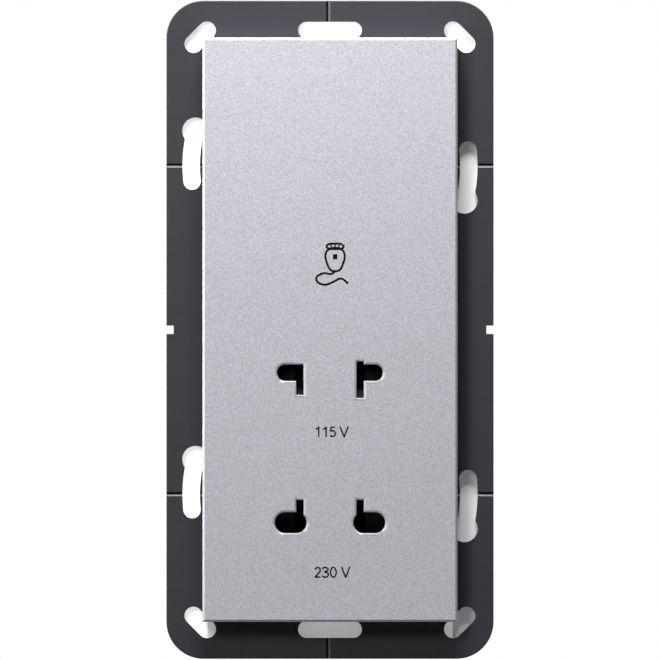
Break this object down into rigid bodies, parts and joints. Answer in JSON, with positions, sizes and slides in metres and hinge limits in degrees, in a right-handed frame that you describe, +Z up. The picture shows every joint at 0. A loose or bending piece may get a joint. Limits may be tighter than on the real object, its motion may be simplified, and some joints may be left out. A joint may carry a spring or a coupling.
{
  "type": "shaver socket",
  "caption": "Flush wall socket outlet for shavers: dark metal support frame, raised silver cover with holes for flat and round pins, interlocked shutter and isolating transformer behind.",
  "frame": {"origin": "centre of the support frame in the wall plane, which is the frame's back face", "axes": "+Z up the wall, +X to the right seen from the room, -Y out into the room, +Y into the wall"},
  "size_m": [0.0706, 0.0582, 0.1422],
  "materials": {
    "frame_metal": "satin anthracite, fine level brushing",
    "silver_plastic": "silver flake paint, satin",
    "black_plastic": "moulded, matt",
    "grey_plastic": "moulded, matt",
    "spring_steel": "bright",
    "zinc_steel": "zinc plated",
    "brass": "stamped",
    "board": "green lacquer",
    "core_steel": "stacked sheets, varnished",
    "former_plastic": "moulded nylon",
    "winding": "enamelled copper wire"
  },
  "bodies": {
    "unit": {"support_frame": "frame_metal", "cover": "silver_plastic", "contact_carrier": "black_plastic", "left_return_spring": "spring_steel", "right_return_spring": "spring_steel", "switch_contacts": "brass", "common_contact_strip": "brass", "contact_115": "brass", "contact_230": "brass", "circuit_board": "board", "board_screws": "zinc_steel", "thermal_cutout": "black_plastic", "terminal_block": "grey_plastic", "terminal_clamps": "brass", "terminal_screws": "zinc_steel", "e_laminations": "core_steel", "i_laminations": "core_steel", "core_screws": "zinc_steel", "coil_former": "former_plastic", "primary_winding": "winding", "secondary_winding": "winding", "former_pins": "spring_steel", "rear_housing": "black_plastic", "assembly_screws": "zinc_steel"},
    "shutter": {"shutter_slide": "black_plastic", "switch_bridge": "brass"}
  },
  "joints": [
    {"name": "shutter_travel", "type": "slide", "parent": "unit", "child": "shutter", "axis": [0, 0, 1], "range_m": [-0.0047, 0.0047], "stiffness_N_per_m": 200, "deforming": ["left_return_spring", "right_return_spring"]}
  ]
}
